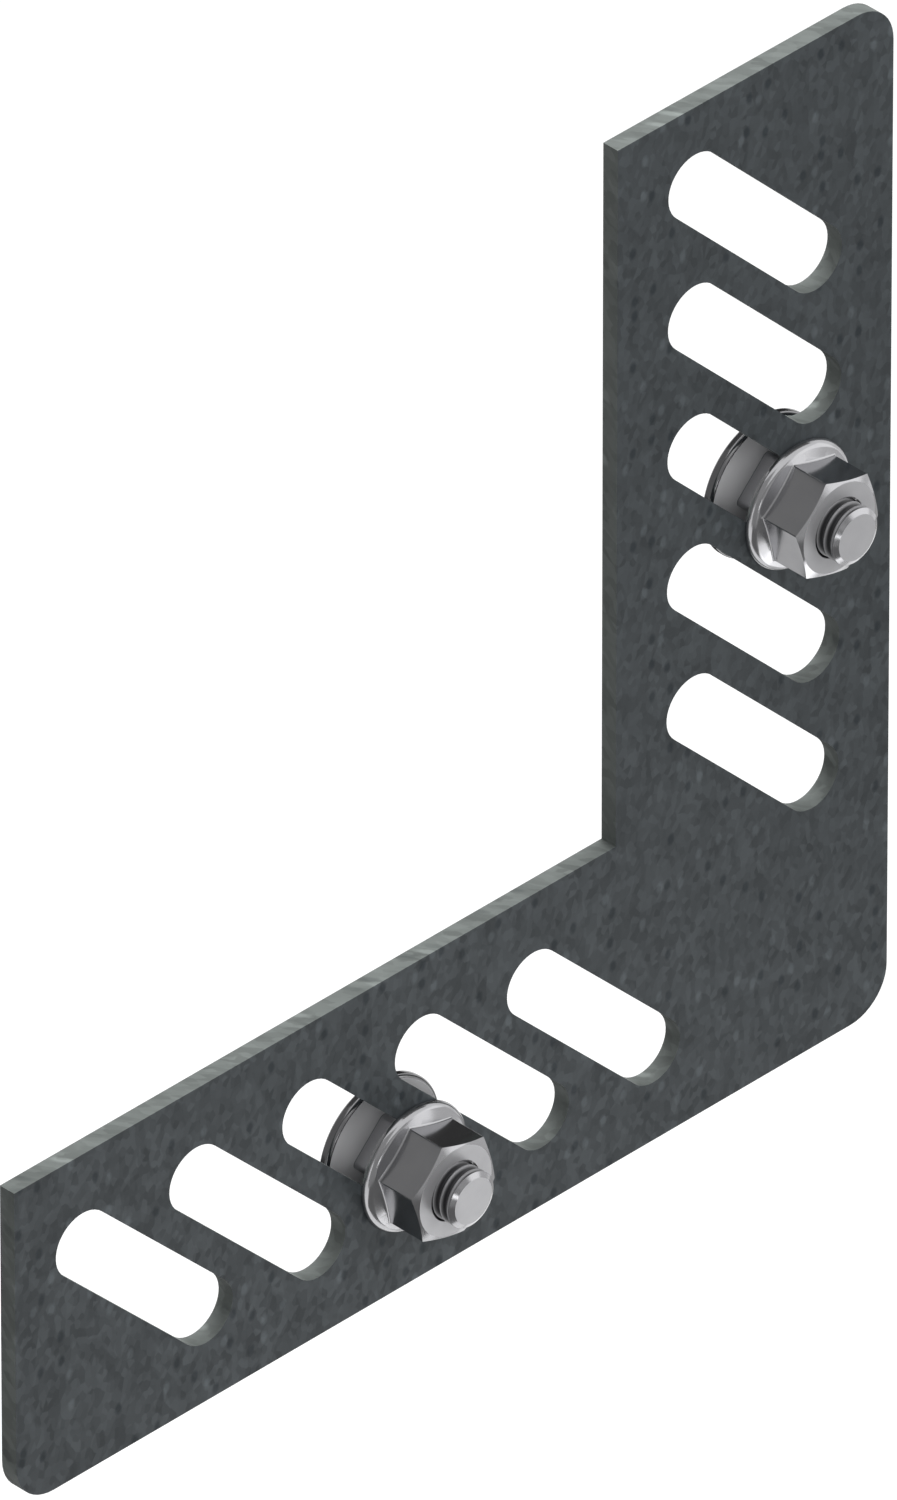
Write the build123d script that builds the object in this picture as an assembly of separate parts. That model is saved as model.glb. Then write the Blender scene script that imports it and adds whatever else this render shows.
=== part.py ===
# Strut angle fitting: a flat right-angle plate with slanted slots in both arms. A square-neck bolt
# with a mushroom head waits in the middle slot of each arm, with a flanged hexagon nut on it.
# Millimetres, +Z up. The plate's back face, which lies on the strut, is the plane Y = 0, and the
# origin is where the centre lines of the arms cross. One arm stands up (+Z) and the other runs
# level (-X). The front face, with the nuts, looks to -Y.
from build123d import *
import os
from math import asin, cos, degrees, radians, sin, tan

# Plate
arm_width = 48.0
plate_thickness = 2.5
outer_corner_radius = 6.4  # elbow, and the outer corner of each free end; the inner corners are sharp

# Slots, which all slant down to the right
slots_per_arm = 5
slot_length = 39.1  # end to end
slot_pitch = 19.5  # along the arm
slot_slant = 45.0  # degrees below level
elbow_to_slot = 27.8  # crossing of the centre lines to the middle of the nearest slot
slot_to_free_end = 22.2  # middle of the last slot to the free end of the arm
bolt_slot = 3  # which slot holds the bolt, counted from the free end

# Bolt
thread_diameter = 7.8
thread_showing = 3.1  # past the top of the nut
end_chamfer_width = 0.7
end_chamfer_height = 0.4
head_diameter = 20.1
head_height = 4.8
head_rim_height = 1.25
head_front_radius = 0.6  # edge that faces the plate
head_back_radius = 0.3  # where the rim meets the dome
neck_corner_radius = 0.8

# Nut
nut_across_flats = 13.0
nut_height = 7.5
nut_face_inset = 0.25  # top face's circle to the flats
nut_chamfer_slope = 20.0  # degrees
flange_overhang = 1.45  # past the hexagon's corners
flange_rim_height = 1.0  # to where the rim and the cone would meet without the edge's radius
flange_slope = 14.0  # degrees
flange_edge_radius = 1.15
flange_root_radius = 0.3  # where the flange meets the hexagon
bore_mouth_width = 0.25

# How the pieces stand to one another
strut_wall_space = 2.6  # behind the plate, in front of the bolt's head
neck_over_thread = 0.05  # how much wider the neck is than the thread
slot_side_clearance = 0.675  # slot to neck, on each side with the neck in the middle
neck_wall_gap = 0.06  # slot's upper wall to the neck, as the bolt stands
neck_setback = 0.9  # end of the neck to the plate's front face
thread_clearance = 0.05  # radial
seat_clearance = 0.02  # nut to plate
room_below_bolt = 2.0  # how far the bolt can still slide down its slot

neck_width = thread_diameter + neck_over_thread
slot_width = neck_width + 2 * slot_side_clearance
arm_reach = elbow_to_slot + (slots_per_arm - 1) * slot_pitch + slot_to_free_end
slide_limit = (slot_length - slot_width) / 2 - (neck_width / 2 - neck_corner_radius)


def turned(outline):
    """Solid turned about Z from a closed outline of (radius, height) corners in the XZ plane."""
    return revolve(make_face(Plane.XZ * Polyline(*outline, close=True)), Axis.Z)


def slot_middles():
    """Middle of every slot in the XZ plane: up the upright arm, then out along the level arm."""
    distances = [elbow_to_slot + i * slot_pitch for i in range(slots_per_arm)]
    return [(0, d) for d in distances], [(-d, 0) for d in distances]


def make_plate():
    half = arm_width / 2
    upright = Pos(0, (arm_reach - half) / 2) * Rectangle(arm_width, arm_reach + half)
    level = Pos(-(arm_reach - half) / 2, 0) * Rectangle(arm_reach + half, arm_width)
    blank = upright + level
    outer_corners = [(half, arm_reach), (half, -half), (-arm_reach, -half)]
    corners = [blank.vertices().sort_by_distance((x, y, 0))[0] for x, y in outer_corners]
    blank = fillet(corners, outer_corner_radius)
    for middles in slot_middles():
        for x, y in middles:
            blank -= Pos(x, y) * SlotOverall(slot_length, slot_width, rotation=-slot_slant)
    return extrude(Plane.XZ * blank, plate_thickness)


def make_bolt():
    """Bolt along Z: Z = 0 is the plate's front face, and X runs down the slot."""
    underside = -(plate_thickness + strut_wall_space)
    tip = nut_height + seat_clearance + thread_showing
    head_radius = head_diameter / 2
    thread_radius = thread_diameter / 2

    rim_back = underside - head_rim_height
    dome_height = head_height - head_rim_height
    dome_radius = (head_radius**2 + dome_height**2) / (2 * dome_height)
    dome_angle = degrees(asin(head_radius / dome_radius))
    dome_centre = (0, rim_back - dome_height + dome_radius)
    crown = CenterArc(dome_centre, dome_radius, -90, dome_angle)
    sides = Polyline(crown @ 0, (0, underside), (head_radius, underside), crown @ 1)
    outline = make_face(crown + sides)
    rim = outline.vertices().group_by(Axis.X)[-1].sort_by(Axis.Y)
    outline = fillet(rim[1], head_front_radius)
    rim = outline.vertices().sort_by_distance((crown @ 1))
    outline = fillet(rim[0], head_back_radius)
    head = revolve(Plane.XZ * outline, Axis.Z)

    neck_length = -underside - neck_setback
    neck_section = RectangleRounded(neck_width, neck_width, neck_corner_radius)
    neck = extrude(Pos(0, 0, underside) * neck_section, neck_length)

    shank = turned([
        (0, underside),
        (thread_radius, underside),
        (thread_radius, tip - end_chamfer_height),
        (thread_radius - end_chamfer_width, tip),
        (0, tip),
    ])
    return head + neck + shank


def make_nut():
    """Nut along Z, seated on Z = 0, with two of the hexagon's flats facing along the slot."""
    flat_radius = nut_across_flats / 2
    corner_radius = flat_radius / cos(radians(30))
    flange_radius = corner_radius + flange_overhang
    bore_radius = thread_diameter / 2 + thread_clearance
    face_radius = flat_radius - nut_face_inset

    cone_top = flange_rim_height + (flange_radius - bore_radius) * tan(radians(flange_slope))
    flange_outline = make_face(Polyline(
        (0, 0),
        (flange_radius, 0),
        (flange_radius, flange_rim_height),
        (bore_radius, cone_top),
        (0, cone_top),
        close=True,
    ))
    rim_top = flange_outline.vertices().sort_by_distance((flange_radius, flange_rim_height, 0))[0]
    flange = revolve(Plane.XZ * fillet(rim_top, flange_edge_radius), Axis.Z)

    hexagon = extrude(RegularPolygon(flat_radius, 6, major_radius=False, rotation=30), nut_height)
    chamfer_drop = (flange_radius - face_radius) * tan(radians(nut_chamfer_slope))
    hexagon &= turned([
        (0, 0),
        (flange_radius, 0),
        (flange_radius, nut_height - chamfer_drop),
        (face_radius, nut_height),
        (0, nut_height),
    ])
    body = flange + hexagon
    roots = [e for e in body.edges() if is_root(e, flat_radius, corner_radius)]
    body = fillet(roots, flange_root_radius)

    mouth_radius = bore_radius + bore_mouth_width
    bore = turned([
        (0, 0),
        (mouth_radius, 0),
        (bore_radius, bore_mouth_width),
        (bore_radius, nut_height - bore_mouth_width),
        (mouth_radius, nut_height),
        (0, nut_height),
    ])
    return body - bore


def is_root(edge, flat_radius, corner_radius):
    """True for the six curved edges where the flange's cone meets the hexagon's flats."""
    middle = edge @ 0.5
    out = (middle.X**2 + middle.Y**2) ** 0.5
    low = middle.Z < nut_height / 2
    curved = edge.geom_type != GeomType.LINE
    return low and curved and flat_radius - 0.01 < out < corner_radius


def bolt_seat(slot_middle):
    """Plane on the plate's front face, on a bolt's axis, with X running down the slot."""
    slant = radians(slot_slant)
    along = Vector(cos(slant), 0, -sin(slant))
    across = Vector(sin(slant), 0, cos(slant))
    place = Vector(slot_middle[0], -plate_thickness, slot_middle[1])
    place += along * (slide_limit - room_below_bolt)
    place += across * (slot_side_clearance - neck_wall_gap)
    return Plane(origin=place, x_dir=along, z_dir=(0, -1, 0))


bolt = make_bolt()
nut = Pos(0, 0, seat_clearance) * make_nut()
pieces = {"angle_plate": make_plate()}
for arm, middles in zip(("upper", "lower"), slot_middles()):
    seat = bolt_seat(middles[slots_per_arm - bolt_slot])
    pieces[f"{arm}_bolt"] = seat.location * bolt
    pieces[f"{arm}_nut"] = seat.location * nut
    print(f"{arm} bolt axis at X {seat.origin.X:.3f}, Z {seat.origin.Z:.3f}")

print(f"bolts slide {room_below_bolt:.2f} down and {2 * slide_limit - room_below_bolt:.2f} up")
os.makedirs("parts", exist_ok=True)
for name, piece in pieces.items():
    piece.label = name
    export_step(piece, f"parts/{name}.step")
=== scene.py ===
import bpy
import math
import numpy as np
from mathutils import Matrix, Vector


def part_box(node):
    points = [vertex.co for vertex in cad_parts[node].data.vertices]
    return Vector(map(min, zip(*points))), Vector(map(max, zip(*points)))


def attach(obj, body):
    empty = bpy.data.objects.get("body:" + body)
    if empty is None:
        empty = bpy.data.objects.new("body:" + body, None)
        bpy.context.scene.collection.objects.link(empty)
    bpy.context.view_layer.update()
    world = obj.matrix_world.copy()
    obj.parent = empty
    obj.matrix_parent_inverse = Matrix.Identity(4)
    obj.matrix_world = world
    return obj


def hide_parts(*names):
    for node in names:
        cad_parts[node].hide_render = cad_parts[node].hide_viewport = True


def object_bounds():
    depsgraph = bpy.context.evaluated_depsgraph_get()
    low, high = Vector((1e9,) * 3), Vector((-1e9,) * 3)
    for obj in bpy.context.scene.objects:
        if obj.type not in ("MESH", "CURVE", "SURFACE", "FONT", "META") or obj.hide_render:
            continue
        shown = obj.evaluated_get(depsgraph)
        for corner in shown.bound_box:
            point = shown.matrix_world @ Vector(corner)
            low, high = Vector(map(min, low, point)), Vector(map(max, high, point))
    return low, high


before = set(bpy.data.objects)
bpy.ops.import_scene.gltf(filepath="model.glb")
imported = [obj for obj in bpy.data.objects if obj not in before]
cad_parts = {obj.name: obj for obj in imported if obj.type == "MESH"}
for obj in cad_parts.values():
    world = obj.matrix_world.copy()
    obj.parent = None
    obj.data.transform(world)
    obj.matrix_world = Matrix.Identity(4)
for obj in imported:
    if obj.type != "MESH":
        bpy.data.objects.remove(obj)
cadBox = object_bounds()
mm = 0.001

# Each bolt has its own axes: down the slot, which slants 45 degrees, across it, and out of the plate's
# front face, which looks to -Y.
slotSlant = math.radians(45)
downSlot = np.array([math.cos(slotSlant), 0, -math.sin(slotSlant)])
acrossSlot = np.array([math.sin(slotSlant), 0, math.cos(slotSlant)])
outOfPlate = np.array([0.0, -1.0, 0.0])
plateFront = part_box("angle_plate")[0].y


def colour(red, green, blue):
    # A screen colour from 0 to 255 as the linear value that a socket takes.
    share = np.array([red, green, blue]) / 255
    linear = np.where(share <= 0.04045, share / 12.92, ((share + 0.055) / 1.055) ** 2.4)
    return (*linear.tolist(), 1.0)


def addNode(tree, kind, inputs, **settings):
    # Inputs are plain values, or the sockets of other nodes.
    node = tree.nodes.new("ShaderNode" + kind)
    for name, value in settings.items():
        setattr(node, name, value)
    for name, value in inputs.items():
        if isinstance(value, bpy.types.NodeSocket):
            tree.links.new(value, node.inputs[name])
        else:
            node.inputs[name].default_value = value
    return node


def calculate(tree, operation, first, second=0.0, third=0.0):
    return addNode(tree, "Math", {0: first, 1: second, 2: third}, operation=operation).outputs[0]


def mixColours(tree, factor, first, second, blend="MIX"):
    # Sockets 6 and 7 take the two colours, and output 2 gives the mixed one.
    node = addNode(tree, "Mix", {0: factor, 6: first, 7: second}, data_type="RGBA", blend_type=blend)
    return node.outputs[2]


def stepAt(tree, value, edge, blur):
    # 0 below the edge, 1 above it
    return addNode(tree, "MapRange", {
        "Value": value,
        "From Min": edge - blur / 2,
        "From Max": edge + blur / 2,
    }).outputs[0]


def newFinish(name):
    material = bpy.data.materials.new(name)
    material.use_nodes = True
    return material, material.node_tree, material.node_tree.nodes["Principled BSDF"]


def bareFinish(name):
    # A finish with nothing in it yet but the socket that its surface goes into
    material, tree, shader = newFinish(name)
    tree.nodes.remove(shader)
    return material, tree, tree.nodes["Material Output"].inputs["Surface"]


# Galvanised plate

zinc = {
    "face": colour(66, 71, 74),
    # Partly painted light: the walls' lighter zinc stands in for the light from above on the plate's top
    # edges
    "cutWallWithPaintedLight": colour(115, 120, 118),
    "flakeSize": 1.0 * mm,
    "patchSize": 2.2 * mm,
    "stretch": (1.15, 0.8, 0.0),
    "ripple": 0.4 * mm,
    "rippleScale": 1300.0,
    "rippleDetail": 2.0,
    "crystalBlend": 0.3,
    "depthShift": 0.6,
    "flakeContrast": 0.4,
    "patchContrast": 0.25,
    "wallContrast": 0.8,
    "wallSpots": 0.35,
    "spotSpacing": 3.8 * mm,
    "spotRadius": 0.85 * mm,
    "spotCore": 0.45,
    "spotScatter": 0.85,
    "darkShare": 0.3,
    "darkDepth": 0.68,
    "darkColour": colour(24, 33, 39),
    "lightShare": 0.2,
    "lightStrength": 0.6,
    "lightShift": 0.0317,
    "faceLimit": 0.7,
    "metallic": 0.35,
    "specular": 0.25,
    "roughness": 0.5,
    "glossContrast": 0.15,
    "relief": 0.02 * mm,
    "reliefStrength": 0.5,
}


def scatteredSpots(tree, where, share, shift):
    # A round spot in the middle of a share of the cells: 1 inside its radius, 0 outside.
    moved = addNode(tree, "VectorMath", {0: where, 1: (shift, shift, 0.0)}).outputs[0]
    cells = addNode(tree, "TexVoronoi", {
        "Vector": moved,
        "Scale": 1 / zinc["spotSpacing"],
        "Randomness": zinc["spotScatter"],
    }, voronoi_dimensions="2D")
    chance = addNode(tree, "SeparateColor", {"Color": cells.outputs["Color"]}).outputs["Red"]
    chosen = calculate(tree, "LESS_THAN", chance, share)
    size = zinc["spotRadius"] / zinc["spotSpacing"]
    spot = addNode(tree, "MapRange", {
        "Value": cells.outputs["Distance"],
        "From Min": size * zinc["spotCore"],
        "From Max": size,
        "To Min": 1.0,
        "To Max": 0.0,
    }).outputs[0]
    return calculate(tree, "MULTIPLY", chosen, spot)


def crystals(tree, where, size, channel):
    # One tone from 0 to 1 for each cell, a little blended at the edges.
    cells = addNode(tree, "TexVoronoi", {
        "Vector": where,
        "Scale": 1 / size,
        "Smoothness": zinc["crystalBlend"],
    }, voronoi_dimensions="2D", feature="SMOOTH_F1")
    return addNode(tree, "SeparateColor", {"Color": cells.outputs["Color"]}).outputs[channel]


def galvanisedZinc():
    material, tree, shader = newFinish("galvanisedZinc")
    place = addNode(tree, "TexCoord", {})
    at = addNode(tree, "SeparateXYZ", {0: place.outputs["Object"]})
    # The pattern lies in the plate's own plane. Depth shifts it, so that the walls show it too.
    depth = calculate(tree, "MULTIPLY", at.outputs["Y"], zinc["depthShift"])
    inPlane = addNode(tree, "CombineXYZ", {
        "X": calculate(tree, "ADD", at.outputs["X"], depth),
        "Y": calculate(tree, "SUBTRACT", at.outputs["Z"], depth),
    }).outputs[0]
    flat = addNode(tree, "VectorMath", {0: inPlane, 1: zinc["stretch"]}, operation="MULTIPLY").outputs[0]
    ripple = addNode(tree, "TexNoise", {
        "Vector": place.outputs["Object"],
        "Scale": zinc["rippleScale"],
        "Detail": zinc["rippleDetail"],
    })
    bent = addNode(tree, "VectorMath", {
        0: ripple.outputs["Color"],
        1: (zinc["ripple"],) * 3,
        2: flat,
    }, operation="MULTIPLY_ADD").outputs[0]

    # Zinc crystals, each a little lighter or darker than the next, with a few dark and light spots
    flakeTone = calculate(tree, "SUBTRACT", crystals(tree, bent, zinc["flakeSize"], "Red"), 0.5)
    patchTone = calculate(tree, "SUBTRACT", crystals(tree, bent, zinc["patchSize"], "Green"), 0.5)
    flakes = calculate(tree, "MULTIPLY_ADD", flakeTone, zinc["flakeContrast"], 1.0)
    crystal = calculate(tree, "MULTIPLY_ADD", patchTone, zinc["patchContrast"], flakes)
    darkSpots = scatteredSpots(tree, bent, zinc["darkShare"], 0.0)
    lightSpots = scatteredSpots(tree, bent, zinc["lightShare"], zinc["lightShift"])
    light = calculate(tree, "MULTIPLY_ADD", lightSpots, zinc["lightStrength"], crystal)

    # Sheared and punched walls are lighter than the rolled faces, which look along Y, partly as painted
    # light for the top edges' brightness under light from above, and show less of the crystals and of the
    # dark spots
    across = addNode(tree, "SeparateXYZ", {"Vector": place.outputs["Normal"]}).outputs["Y"]
    onFace = calculate(tree, "GREATER_THAN", calculate(tree, "ABSOLUTE", across), zinc["faceLimit"])
    ground = mixColours(tree, onFace, zinc["cutWallWithPaintedLight"], zinc["face"])
    contrast = calculate(tree, "SUBTRACT", light, 1.0)
    softer = calculate(tree, "MULTIPLY_ADD", contrast, zinc["wallContrast"], 1.0)
    shade = addNode(tree, "Mix", {0: onFace, 2: softer, 3: light}).outputs[0]
    toned = mixColours(tree, 1.0, ground, shade, "MULTIPLY")
    spotShare = calculate(tree, "MULTIPLY_ADD", onFace, 1 - zinc["wallSpots"], zinc["wallSpots"])
    depthOfSpots = calculate(tree, "MULTIPLY", darkSpots, zinc["darkDepth"])
    darkness = calculate(tree, "MULTIPLY", depthOfSpots, spotShare)
    spotted = mixColours(tree, darkness, toned, zinc["darkColour"])
    tree.links.new(spotted, shader.inputs["Base Color"])

    # Lighter crystals are a little glossier
    dullest = zinc["roughness"] + zinc["glossContrast"]
    roughness = calculate(tree, "MULTIPLY_ADD", crystal, -zinc["glossContrast"], dullest)
    tree.links.new(roughness, shader.inputs["Roughness"])
    relief = addNode(tree, "Bump", {
        "Height": light,
        "Distance": zinc["relief"],
        "Strength": zinc["reliefStrength"],
    })
    tree.links.new(relief.outputs[0], shader.inputs["Normal"])
    shader.inputs["Metallic"].default_value = zinc["metallic"]
    shader.inputs["Specular IOR Level"].default_value = zinc["specular"]
    return material


for index in range(len(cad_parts["angle_plate"].data.materials)):
    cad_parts["angle_plate"].material_slots[index].material = galvanisedZinc()
print("plate finished")


# Surfaces of the bolts and nuts

def roundCorner(corner, before, after, radius, steps):
    # Arc tangent to both sides of a corner. Before and after are unit directions away from the corner. The
    # arc's centre is on their bisector, at the radius over the sine of half the angle between them.
    half = 0.5 * math.acos(float(np.dot(before, after)))
    bisector = (before + after) / np.linalg.norm(before + after)
    towardsStart = before / math.tan(half) - bisector / math.sin(half)
    towardsEnd = after / math.tan(half) - bisector / math.sin(half)
    sweep = math.pi - 2 * half
    turn = np.linspace(0, 1, steps).reshape(-1, *[1] * corner.ndim)
    spoke = np.sin((1 - turn) * sweep) * towardsStart + np.sin(turn * sweep) * towardsEnd
    return corner + radius * (bisector / math.sin(half) + spoke / math.sin(sweep))


def polygonAngles(sides, flat, cornerRadius, firstCorner, perFlat, perCorner):
    # Angles round the axis: perFlat steps on each flat and perCorner on each rounded corner.
    cornerCentre = (flat - cornerRadius) / math.cos(math.pi / sides)
    edge = math.atan2(
        cornerRadius * math.sin(math.pi / sides),
        cornerCentre + cornerRadius * math.cos(math.pi / sides),
    )
    arc = np.linspace(-edge, edge, perCorner, endpoint=False)
    side = np.linspace(edge, 2 * math.pi / sides - edge, perFlat, endpoint=False)
    corners = firstCorner + np.arange(sides)[:, None] * 2 * math.pi / sides
    return (corners + np.concatenate([arc, side])).ravel()


def polygonRadius(angles, sides, flat, cornerRadius, firstCorner):
    # Distance from the axis to a regular polygon with rounded corners. On a flat it is the flat's distance
    # over the cosine of the angle from the flat's middle. On a corner it is where the ray meets the arc.
    sector = 2 * math.pi / sides
    fromCorner = np.abs((angles - firstCorner + sector / 2) % sector - sector / 2)
    cornerCentre = (flat - cornerRadius) / math.cos(sector / 2)
    edge = math.atan2(
        cornerRadius * math.sin(sector / 2),
        cornerCentre + cornerRadius * math.cos(sector / 2),
    )
    onFlat = flat / np.cos(sector / 2 - fromCorner)
    reach = np.clip(cornerRadius**2 - (cornerCentre * np.sin(fromCorner)) ** 2, 0, None)
    onCorner = cornerCentre * np.cos(fromCorner) + np.sqrt(reach)
    return np.where(fromCorner < edge, onCorner, onFlat)


def stackRows(rows, around):
    # Rows of (radius, height), each a pair of numbers or of arrays round the axis, as one grid.
    return np.stack([
        np.stack([np.broadcast_to(row[..., 0], around), np.broadcast_to(row[..., 1], around)], axis=-1)
        for row in rows
    ])


def bandFaces(low, high, here, beyond):
    # Four-sided faces between one row of vertices and the next, one for each step round the axis
    return np.stack([low + here, low + beyond, high + beyond, high + here], axis=-1).reshape(-1, 4)


def skinRows(name, profile, angles, centre, closed, creases):
    # Surface through rows of (radius, height) at each angle round the bolt's axis:
    # centre + radius * (cos angle down the slot + sin angle across it) + height out of the plate.
    # A closed profile joins its last row to its first; an open one starts and ends on the axis.
    radius = profile[..., 0, None]
    turn = angles[None, :, None]
    points = centre + radius * (np.cos(turn) * downSlot + np.sin(turn) * acrossSlot)
    points = points + profile[..., 1, None] * outOfPlate
    rows, around = profile.shape[:2]
    here = np.arange(around)
    beyond = (here + 1) % around
    if closed:
        low = np.arange(rows)[:, None] * around
        high = (np.arange(rows)[:, None] + 1) % rows * around
        vertices = points.reshape(-1, 3)
        faces = bandFaces(low, high, here, beyond).tolist()
        firstRow = 0
    else:
        vertices = np.concatenate([points[0, :1], points[1:-1].reshape(-1, 3), points[-1, :1]])
        last = len(vertices) - 1
        low = 1 + np.arange(rows - 3)[:, None] * around
        high = low + around
        walls = bandFaces(low, high, here, beyond)
        startFan = np.stack([np.zeros_like(here), 1 + beyond, 1 + here], axis=-1)
        topRow = 1 + (rows - 3) * around
        endFan = np.stack([topRow + here, topRow + beyond, np.full_like(here, last)], axis=-1)
        faces = startFan.tolist() + walls.tolist() + endFan.tolist()
        firstRow = 1
    mesh = bpy.data.meshes.new(name)
    mesh.from_pydata(vertices.tolist(), [], faces)
    mesh.polygons.foreach_set("use_smooth", np.ones(len(mesh.polygons), bool))

    ends = np.zeros(len(mesh.edges) * 2, np.int32)
    mesh.edges.foreach_get("vertices", ends)
    rowOfEnds = (ends.reshape(-1, 2) - (0 if closed else 1)) // around + firstRow
    sharp = (rowOfEnds[:, 0] == rowOfEnds[:, 1]) & np.isin(rowOfEnds[:, 0], creases)
    mesh.attributes.new("sharp_edge", "BOOLEAN", "EDGE").data.foreach_set("value", sharp)
    mesh.validate()
    mesh.update()
    piece = bpy.data.objects.new(name, mesh)
    bpy.context.scene.collection.objects.link(piece)
    crisp = piece.modifiers.new("flatFaces", "WEIGHTED_NORMAL")
    crisp.keep_sharp = True
    return piece


# Plated steel on bolts and nuts

plating = {
    "steel": colour(190, 190, 192),
    "shade": colour(178, 178, 181),
    "roughness": 0.16,
    "cloudRoughness": 0.08,
    "faceRoughness": 0.28,
    "faceMetallic": 0.5,
    "cloudSize": 3.0 * mm,
    "cloudDetail": 3.0,
    "grainSize": 0.12 * mm,
    "grainDetail": 2.0,
    "relief": 0.004 * mm,
    "reliefStrength": 0.3,
    "endLimit": 0.985,
    "endBlur": 0.01,
}


def platedSteel(name):
    material, tree, shader = newFinish(name)
    coordinates = addNode(tree, "TexCoord", {})
    place = coordinates.outputs["Object"]
    cloud = addNode(tree, "TexNoise", {
        "Vector": place,
        "Scale": 1 / plating["cloudSize"],
        "Detail": plating["cloudDetail"],
    })
    grain = addNode(tree, "TexNoise", {
        "Vector": place,
        "Scale": 1 / plating["grainSize"],
        "Detail": plating["grainDetail"],
    })
    base = mixColours(tree, cloud.outputs["Fac"], plating["steel"], plating["shade"])
    tree.links.new(base, shader.inputs["Base Color"])

    # Flat ends, square to the axis, are turned and so duller than the sides
    facing = addNode(tree, "SeparateXYZ", {0: coordinates.outputs["Normal"]}).outputs["Y"]
    onEnd = stepAt(tree, calculate(tree, "MULTIPLY", facing, -1.0), plating["endLimit"], plating["endBlur"])
    smoothest = plating["roughness"] - plating["cloudRoughness"] / 2
    cloudiness = cloud.outputs["Fac"]
    sideRoughness = calculate(tree, "MULTIPLY_ADD", cloudiness, plating["cloudRoughness"], smoothest)
    roughness = calculate(tree, "MULTIPLY_ADD", onEnd, plating["faceRoughness"], sideRoughness)
    tree.links.new(roughness, shader.inputs["Roughness"])
    metallic = calculate(tree, "MULTIPLY_ADD", onEnd, plating["faceMetallic"] - 1, 1.0)
    tree.links.new(metallic, shader.inputs["Metallic"])
    relief = addNode(tree, "Bump", {
        "Height": grain.outputs["Fac"],
        "Distance": plating["relief"],
        "Strength": plating["reliefStrength"],
    })
    tree.links.new(relief.outputs[0], shader.inputs["Normal"])
    return material, tree, shader, place, onEnd


# Square-neck bolt with a mushroom head

bolt = {
    "headHeight": 4.8 * mm,
    "rimHeight": 1.25 * mm,
    "rimFrontRadius": 0.6 * mm,
    "rimBackRadius": 0.3 * mm,
    "domeShare": 0.985,  # of the way to the rim, just short of its rounding
    "neckSides": 4,
    "neckTurn": math.radians(45),
    "neckWidth": 7.85 * mm,
    "neckCorner": 0.8 * mm,
    "neckSetback": 0.9 * mm,
    "threadRadius": 3.9 * mm,
    "threadPitch": 1.25 * mm,
    "threadDepth": 0.66 * mm,
    "crestAt": 8.5 * mm,
    "crestShare": 1 / 12,
    "flankSlope": math.radians(60),
    "flankRounding": 0.15 * mm,
    "runOut": 0.35 * mm,
    "endRadius": 3.2 * mm,
    "endChamfer": 0.4 * mm,
    "rowsOnDome": 22,
    "rowsOnBackEdge": 6,
    "rowsOnFrontEdge": 10,
    "rowsPerTurn": 24,
    "stepsPerFlat": 28,
    "stepsPerCorner": 10,
    # Painted shade: the thread's grooves take this dark colour for the shade that falls in them
    "grooveShadeColour": colour(64, 64, 66),
    "grooveInset": 0.05 * mm,
    "grooveBlur": 0.6 * mm,
    "headMargin": 0.1 * mm,
    "edgeBlur": 0.05 * mm,
    "threadMetallic": 0.6,
    "threadRoughness": 0.2,
    # Painted shade: the head takes this darker colour for the shade it lies in behind the plate
    "headShadeColour": colour(146, 146, 148),
    # Painted light: the head's underside takes this lighter colour for light that barely reaches it behind
    # the plate
    "undersideLightColour": colour(196, 196, 198),
    "undersideMetallic": 0.15,
}


def smoothStep(value, start, end):
    share = np.clip((value - start) / (end - start), 0, 1)
    return share * share * (3 - 2 * share)


def threadRadius(height, angles, start, end):
    # Right-hand helix: the crest rises by one pitch for each turn, and half its width is a share of the
    # pitch. Flanks slope at 60 degrees to the axis, and the groove fades in at the neck and out at the
    # chamfer.
    turns = (height - bolt["crestAt"]) / bolt["threadPitch"] - (angles - math.pi) / (2 * math.pi)
    fromCrest = np.abs(turns - np.round(turns)) * bolt["threadPitch"]
    flank = (fromCrest - bolt["threadPitch"] * bolt["crestShare"]) * math.tan(bolt["flankSlope"])
    rounding = bolt["flankRounding"]
    depth = bolt["threadDepth"] * smoothStep(flank, -rounding, bolt["threadDepth"] + rounding)
    fade = smoothStep(height, start, start + bolt["runOut"]) * smoothStep(height, end, end - bolt["runOut"])
    return bolt["threadRadius"] - depth * fade


def placeAlong(tree, place, direction):
    # How far a place lies along a unit direction
    inputs = {0: place, 1: direction.tolist()}
    return addNode(tree, "VectorMath", inputs, operation="DOT_PRODUCT").outputs["Value"]


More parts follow.
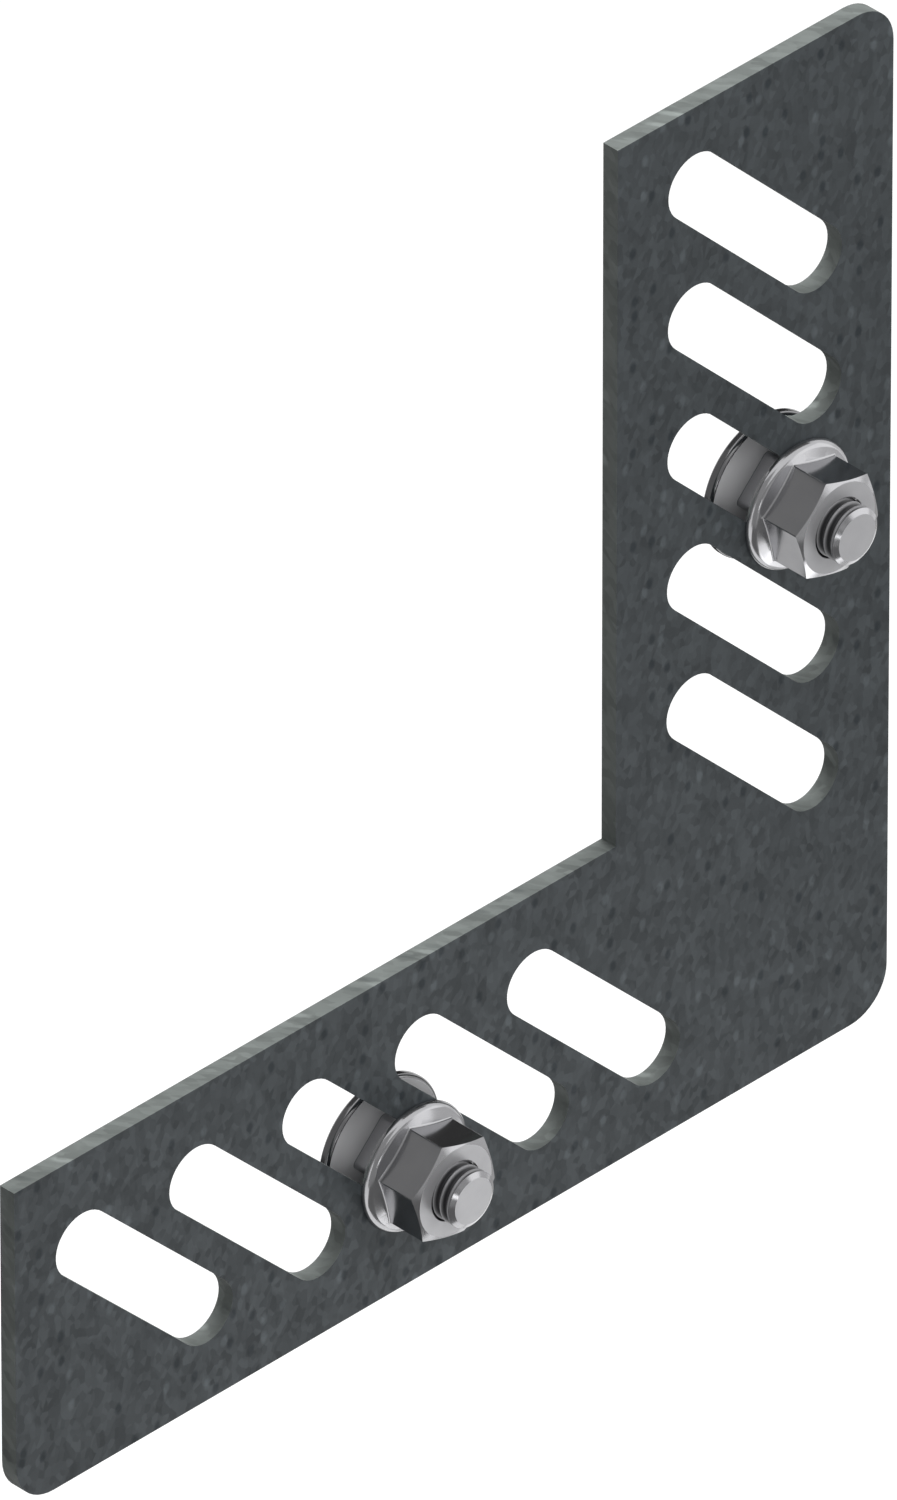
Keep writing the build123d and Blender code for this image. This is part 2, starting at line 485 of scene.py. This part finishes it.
def boltSteel():
    # The bolt has painted shade, a dark colour in the grooves of its thread and a darker one on its head,
    # and painted light under the head, which is dull and coloured light for light that barely reaches it
    # behind the plate.
    # Both axes stand on one line across the slots, equally far from its middle, so the distance from the
    # nearer axis is found from the places down and across the slot.
    material, tree, shader, place, onEnd = platedSteel("boltSteel")
    boxes = np.array([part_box(arm + "_bolt") for arm in ("upper", "lower")])
    middles = boxes.mean(axis=1)
    down, across = middles @ downSlot, middles @ acrossSlot
    fromDown = calculate(tree, "SUBTRACT", placeAlong(tree, place, downSlot), down.mean())
    offMiddle = calculate(tree, "SUBTRACT", placeAlong(tree, place, acrossSlot), across.mean())
    fromAcross = calculate(tree, "SUBTRACT", calculate(tree, "ABSOLUTE", offMiddle), np.ptp(across) / 2)
    acrossSquared = calculate(tree, "MULTIPLY", fromAcross, fromAcross)
    squares = calculate(tree, "MULTIPLY_ADD", fromDown, fromDown, acrossSquared)
    fromAxis = calculate(tree, "SQRT", squares)
    height = calculate(tree, "SUBTRACT", plateFront, addNode(tree, "SeparateXYZ", {0: place}).outputs["Y"])

    low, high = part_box("upper_bolt")
    tip, underside = plateFront - low.y, plateFront - high.y + bolt["headHeight"]
    grooveEdge = bolt["threadRadius"] - bolt["grooveInset"]
    blur = bolt["edgeBlur"]
    inside = calculate(tree, "SUBTRACT", 1.0, stepAt(tree, fromAxis, grooveEdge, bolt["grooveBlur"]))
    belowEnd = calculate(tree, "SUBTRACT", 1.0, stepAt(tree, height, tip - bolt["endChamfer"], blur))
    pastNeck = stepAt(tree, height, -bolt["neckSetback"], blur)
    pastHead = stepAt(tree, height, underside + bolt["headMargin"], blur)
    onThread = calculate(tree, "MULTIPLY", belowEnd, pastNeck)
    paintedGrooveShade = calculate(tree, "MULTIPLY", inside, onThread)
    onHead = calculate(tree, "SUBTRACT", 1.0, pastHead)
    underHead = calculate(tree, "MULTIPLY", onEnd, onHead)

    plain = shader.inputs["Base Color"].links[0].from_socket
    # Painted shade: the grooves of the thread are coloured dark
    grooved = mixColours(tree, paintedGrooveShade, plain, bolt["grooveShadeColour"])
    # Painted shade: the head is coloured darker
    shadedHead = mixColours(tree, onHead, grooved, bolt["headShadeColour"])
    # Painted light: the underside of the head is coloured lighter
    paintedUndersideLight = mixColours(tree, underHead, shadedHead, bolt["undersideLightColour"])
    tree.links.new(paintedUndersideLight, shader.inputs["Base Color"])
    metallic = shader.inputs["Metallic"].links[0].from_socket
    threadShare = calculate(tree, "MULTIPLY_ADD", onThread, bolt["threadMetallic"] - 1, 1.0)
    undersideShare = calculate(tree, "MULTIPLY_ADD", underHead, bolt["undersideMetallic"] - 1, 1.0)
    dulled = calculate(tree, "MULTIPLY", threadShare, undersideShare)
    tree.links.new(calculate(tree, "MULTIPLY", metallic, dulled), shader.inputs["Metallic"])
    roughness = shader.inputs["Roughness"].links[0].from_socket
    rougher = calculate(tree, "MULTIPLY_ADD", onThread, bolt["threadRoughness"], roughness)
    tree.links.new(rougher, shader.inputs["Roughness"])
    return material


def boltPiece(arm):
    low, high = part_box(arm + "_bolt")
    back, tip = plateFront - high.y, plateFront - low.y
    headRadius = (high.x - low.x) / 2
    centre = np.array([(low.x + high.x) / 2, plateFront, (low.z + high.z) / 2])
    halfNeck = bolt["neckWidth"] / 2
    square = (bolt["neckSides"], halfNeck, bolt["neckCorner"], bolt["neckTurn"])
    angles = polygonAngles(*square, bolt["stepsPerFlat"], bolt["stepsPerCorner"])
    neck = polygonRadius(angles, *square)

    # Dome: part of a sphere through the middle of the back and the rim
    domeHeight = bolt["headHeight"] - bolt["rimHeight"]
    domeRadius = (headRadius**2 + domeHeight**2) / (2 * domeHeight)
    rimAngle = math.asin(headRadius / domeRadius)
    tilt = np.linspace(0, rimAngle * bolt["domeShare"], bolt["rowsOnDome"])
    dome = np.stack([domeRadius * np.sin(tilt), back + domeRadius * (1 - np.cos(tilt))], axis=-1)

    # Rim, rounded at both edges
    underside = back + bolt["headHeight"]
    up, inward = np.array([0.0, 1.0]), np.array([-1.0, 0.0])
    downDome = np.array([-math.cos(rimAngle), -math.sin(rimAngle)])
    rimBack = np.array([headRadius, back + domeHeight])
    rimFront = np.array([headRadius, underside])
    backEdge = roundCorner(rimBack, downDome, up, bolt["rimBackRadius"], bolt["rowsOnBackEdge"])
    frontEdge = roundCorner(rimFront, -up, inward, bolt["rimFrontRadius"], bolt["rowsOnFrontEdge"])

    # Square neck, then the threaded shank with its chamfered end
    neckEnd = -bolt["neckSetback"]
    neckFoot = np.stack([neck, np.full_like(neck, underside)], axis=-1)
    neckTop = np.stack([neck, np.full_like(neck, neckEnd)], axis=-1)
    chamferStart = tip - bolt["endChamfer"]
    rowGap = bolt["threadPitch"] / bolt["rowsPerTurn"]
    heights = np.linspace(neckEnd, chamferStart, int((chamferStart - neckEnd) / rowGap))
    grooved = threadRadius(heights[:, None], angles[None, :], neckEnd, chamferStart)
    shank = np.stack(np.broadcast_arrays(grooved, heights[:, None]), axis=-1)
    tipEdge = np.array([bolt["endRadius"], tip])
    tipMiddle = np.array([0.0, tip])

    rows = [*dome, *backEdge, *frontEdge, neckFoot, neckTop, *shank, tipEdge, tipMiddle]
    footRow = len(dome) + len(backEdge) + len(frontEdge)
    creases = [footRow, footRow + 1, footRow + 2, len(rows) - 3, len(rows) - 2]
    profile = stackRows(rows, len(angles))
    return skinRows(arm + "Bolt", profile, angles, centre, False, creases)


# Flange nut

nut = {
    "sides": 6,
    "turn": math.radians(30),
    "acrossFlats": 13.0 * mm,
    "cornerRadius": 0.18 * mm,
    "faceInset": 0.25 * mm,
    "chamferSlope": math.radians(20),
    "rimHeight": 1.0 * mm,
    "rimEdge": 1.15 * mm,
    "seatEdge": 0.06 * mm,
    "flangeSlope": math.radians(14),
    "rootRadius": 0.3 * mm,
    "boreRadius": 3.95 * mm,
    "mouth": 0.25 * mm,
    "rowsOnSeatEdge": 4,
    "rowsOnRimEdge": 16,
    "rowsOnRoot": 8,
    "stepsPerFlat": 18,
    "stepsPerCorner": 6,
}


def nutPiece(arm):
    low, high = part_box(arm + "_nut")
    seat, top = plateFront - high.y, plateFront - low.y
    flangeRadius = (high.x - low.x) / 2
    centre = np.array([(low.x + high.x) / 2, plateFront, (low.z + high.z) / 2])
    flat = nut["acrossFlats"] / 2
    sixSided = (nut["sides"], flat, nut["cornerRadius"], nut["turn"])
    angles = polygonAngles(*sixSided, nut["stepsPerFlat"], nut["stepsPerCorner"])
    hexagon = polygonRadius(angles, *sixSided)

    up, outward = np.array([0.0, 1.0]), np.array([1.0, 0.0])
    upCone = np.array([-math.cos(nut["flangeSlope"]), math.sin(nut["flangeSlope"])])
    rimTop = seat + nut["rimHeight"]
    seatCorner = np.array([flangeRadius, seat])
    rimCorner = np.array([flangeRadius, rimTop])
    seatEdge = roundCorner(seatCorner, -outward, up, nut["seatEdge"], nut["rowsOnSeatEdge"])
    rimEdge = roundCorner(rimCorner, -up, upCone, nut["rimEdge"], nut["rowsOnRimEdge"])
    coneHeight = rimTop + (flangeRadius - hexagon) * math.tan(nut["flangeSlope"])
    rootCorner = np.stack([hexagon, coneHeight], axis=-1)
    root = roundCorner(rootCorner, -upCone, up, nut["rootRadius"], nut["rowsOnRoot"])

    # The chamfer is a cone through the top face's circle, so it meets the flats in curved edges
    faceRadius = flat - nut["faceInset"]
    chamferHeight = top - (hexagon - faceRadius) * math.tan(nut["chamferSlope"])
    chamfer = np.stack([hexagon, chamferHeight], axis=-1)
    mouthRadius = nut["boreRadius"] + nut["mouth"]
    rows = [
        np.array([mouthRadius, seat]),
        *seatEdge,
        *rimEdge,
        *root,
        chamfer,
        np.array([faceRadius, top]),
        np.array([mouthRadius, top]),
        np.array([nut["boreRadius"], top - nut["mouth"]]),
        np.array([nut["boreRadius"], seat + nut["mouth"]]),
    ]
    chamferRow = 1 + len(seatEdge) + len(rimEdge) + len(root)
    creases = [0, *range(chamferRow, len(rows))]
    profile = stackRows(rows, len(angles))
    return skinRows(arm + "Nut", profile, angles, centre, True, creases)


finishes = {"bolt": boltSteel(), "nut": platedSteel("nutSteel")[0]}
for arm in ("upper", "lower"):
    for piece, part in ((boltPiece(arm), "bolt"), (nutPiece(arm), "nut")):
        piece.data.materials.append(finishes[part])
        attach(piece, arm + "_" + part)
        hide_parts(arm + "_" + part)
    print(arm, "bolt and nut made")


# Floor, backdrop and lamps

studio = {
    "floorDrop": 0.5,
    "floorSize": 12.0,
    "floorColour": (0.36, 0.36, 0.36, 1.0),
    "floorLift": 0.77,
    "ambient": (0.08, 0.08, 0.08, 1.0),
}

lamps = {
    # name: (place from the middle of the object, size, watts)
    "above": ((0.3, 0.2, 1.05), 0.6, 18.0),
    "backFill": ((0.25, 1.1, 0.35), 0.8, 7.0),
    "leftFill": ((-1.3, -1.6, 1.12), 1.8, 26.5),
    "rightFill": ((0.18, -0.44, 0.34), 0.35, 1.1),
}

cards = {
    # name: (place from the middle of the object, width, height, brightness), seen only in reflections
    "left": ((-0.85, 0.45, 0.35), 2.0, 1.5, 0.26),
    "front": ((-0.284, -0.875, -0.07), 1.66, 0.84, 0.34),
    "frontRight": ((0.16, -0.7, -0.12), 0.34, 0.5, 0.5),
    "frontBelow": ((-0.06, -0.4, -0.46), 0.72, 0.45, 0.18),
    "cameraSide": ((-0.27, -0.27, 0.27), 0.42, 0.42, 0.4),
    "right": ((0.72, -0.62, -0.04), 0.7, 0.7, 1.35),
    "backAbove": ((0.1, 0.45, 0.6), 0.7, 0.5, 0.12),
    "rightAbove": ((0.42, 0.05, 0.72), 0.75, 0.75, 0.15),
    "lowRight": ((0.6, -0.02, -0.5), 0.5, 0.4, 0.5),
    "glint": ((-0.13, -0.83, -0.13), 0.1, 0.1, 2.5),
    "backLeft": ((-0.5, 0.5, -0.42), 0.7, 0.6, 0.1),
    "backRight": ((0.55, 0.4, 0.15), 0.45, 0.5, 0.05),
    "backBelow": ((-0.046, 0.289, -0.386), 0.13, 0.13, 0.66),
    "behindSlots": ((0.035, 0.35, -0.47), 0.69, 0.34, 0.03),
    "belowRight": ((0.26, -0.3, -0.42), 0.24, 0.22, 1.65),
    "lowerFace": ((0.115, -0.145, -0.22), 0.08, 0.08, 2.3),
    "under": ((0.21, -0.09, -0.41), 0.15, 0.14, 0.7),
    "faceShade": ((0.21, -0.135, -0.105), 0.13, 0.13, 0.68),
}


def seenRays(tree):
    # 1 for what the camera, a reflection or glass sees, 0 for what only lights the object.
    path = addNode(tree, "LightPath", {})
    seen = calculate(tree, "ADD", path.outputs["Is Camera Ray"], path.outputs["Is Glossy Ray"])
    return calculate(tree, "ADD", seen, path.outputs["Is Transmission Ray"])


def whiteWorld():
    world = bpy.data.worlds.new("whiteBackdrop")
    world.use_nodes = True
    tree = world.node_tree
    shown = mixColours(tree, seenRays(tree), studio["ambient"], (1.0, 1.0, 1.0, 1.0))
    tree.links.new(shown, tree.nodes["Background"].inputs["Color"])
    bpy.context.scene.world = world


def paleFloor(height):
    mesh = bpy.data.meshes.new("floor")
    edge = studio["floorSize"] / 2
    corners = [(-edge, -edge, height), (edge, -edge, height), (edge, edge, height), (-edge, edge, height)]
    mesh.from_pydata(corners, [], [(0, 1, 2, 3)])
    floor = bpy.data.objects.new("floor", mesh)
    bpy.context.scene.collection.objects.link(floor)
    material, tree, surface = bareFinish("paleFloor")
    paint = addNode(tree, "BsdfDiffuse", {"Color": studio["floorColour"]}).outputs[0]
    lift = calculate(tree, "MULTIPLY", seenRays(tree), studio["floorLift"])
    glow = addNode(tree, "Emission", {"Strength": lift}).outputs[0]
    both = addNode(tree, "AddShader", {0: paint, 1: glow}).outputs[0]
    tree.links.new(both, surface)
    mesh.materials.append(material)


def aimAt(thing, place, target):
    thing.location = place
    thing.rotation_euler = (target - place).to_track_quat("-Z", "Y").to_euler()


def addLamp(name, place, size, watts, target):
    light = bpy.data.lights.new(name, "AREA")
    light.size = size
    light.energy = watts
    lamp = bpy.data.objects.new(name, light)
    bpy.context.scene.collection.objects.link(lamp)
    aimAt(lamp, target + Vector(place), target)
    lamp.visible_glossy = False


def addCard(name, place, width, height, brightness, target):
    mesh = bpy.data.meshes.new(name)
    side, top = width / 2, height / 2
    corners = [(-side, -top, 0), (side, -top, 0), (side, top, 0), (-side, top, 0)]
    mesh.from_pydata(corners, [], [(0, 1, 2, 3)])
    card = bpy.data.objects.new(name, mesh)
    bpy.context.scene.collection.objects.link(card)
    aimAt(card, target + Vector(place), target)
    card.visible_camera = card.visible_diffuse = card.visible_shadow = False
    card.visible_transmission = False
    material, tree, surface = bareFinish(name)
    glow = addNode(tree, "Emission", {"Strength": brightness}).outputs[0]
    tree.links.new(glow, surface)
    mesh.materials.append(material)


view = {
    "azimuth": math.radians(-44.9),
    "elevation": math.radians(35.12),
    "middle": Vector((-53.17 * mm, -2.5 * mm, 53.08 * mm)),
    "lens": 1000.0,
    "distance": 5111.7 * mm,
    "farthest": 20.0,
}


def photoCamera():
    # A long lens from far away, looking down from the front left like an isometric drawing
    data = bpy.data.cameras.new("camera")
    data.lens = view["lens"]
    data.clip_end = view["farthest"]
    camera = bpy.data.objects.new("camera", data)
    bpy.context.scene.collection.objects.link(camera)
    level = math.cos(view["elevation"])
    back = Vector((
        math.sin(view["azimuth"]) * level,
        -math.cos(view["azimuth"]) * level,
        math.sin(view["elevation"]),
    ))
    aimAt(camera, view["middle"] + back * view["distance"], view["middle"])
    bpy.context.scene.camera = camera


objectMiddle = (cadBox[0] + cadBox[1]) / 2
whiteWorld()
paleFloor(cadBox[0].z - studio["floorDrop"])
for name, (place, size, watts) in lamps.items():
    addLamp(name, place, size, watts, objectMiddle)
for name, (place, width, height, brightness) in cards.items():
    addCard(name, place, width, height, brightness, objectMiddle)
photoCamera()
bpy.context.scene.view_settings.view_transform = "Standard"
print("floor, lamps and camera set")
